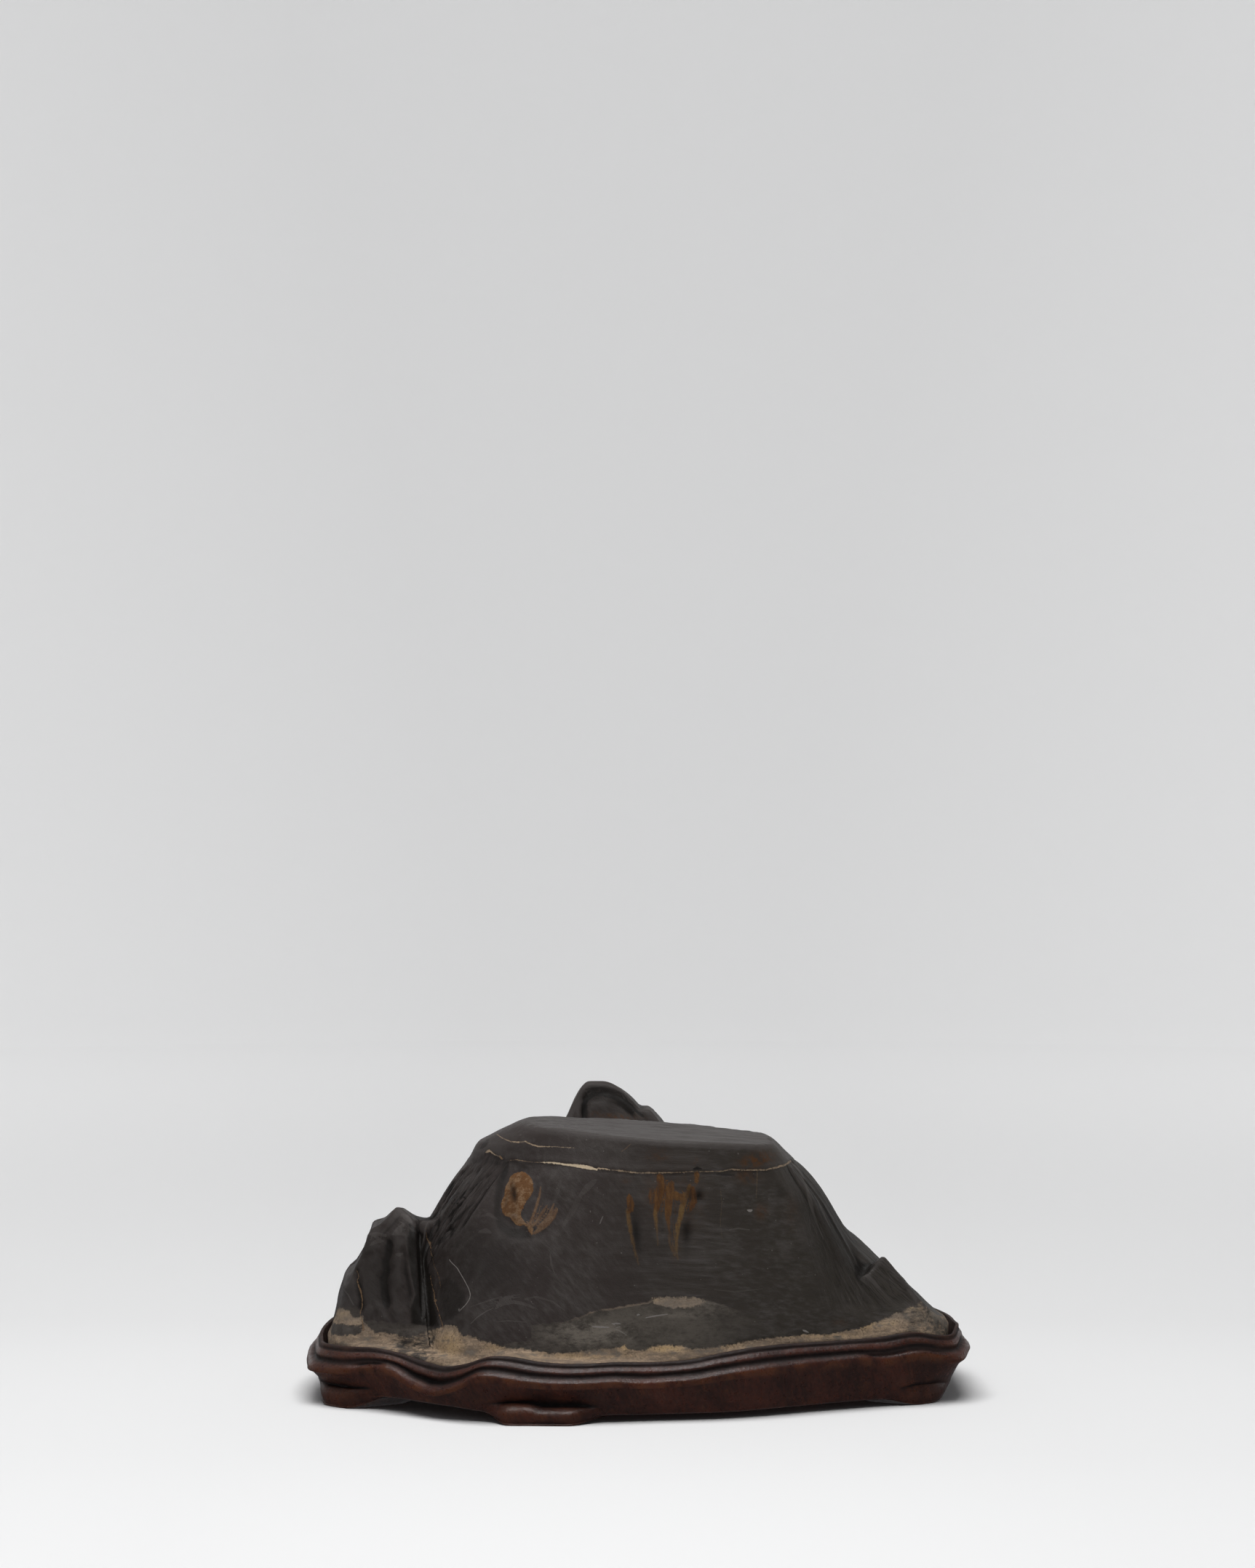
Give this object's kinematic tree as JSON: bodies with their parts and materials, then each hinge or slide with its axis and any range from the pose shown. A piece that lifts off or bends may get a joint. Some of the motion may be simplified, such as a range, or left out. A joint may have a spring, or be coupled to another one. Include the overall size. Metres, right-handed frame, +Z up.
{
  "type": "scholars rock on carved stand",
  "caption": "Dark flat-topped scholars rock with a far peak, a side crag and a pale base crust, resting in a carved wooden stand with rolled rim and low feet.",
  "frame": {"origin": "middle of the bounding box in plan, at the level of the soles of the feet", "axes": "+X to the viewer's right along the width, +Y away from the viewer, +Z up"},
  "size_m": [0.2292, 0.1786, 0.1012],
  "materials": {
    "stone": "dark charcoal stone with a waxed sheen, pale veins and cream crust at the base",
    "stand_wood": "dark red-brown hardwood, oiled to a soft gloss"
  },
  "bodies": {
    "root": {"stone": "stone", "stand": "stand_wood"}
  },
  "joints": []
}
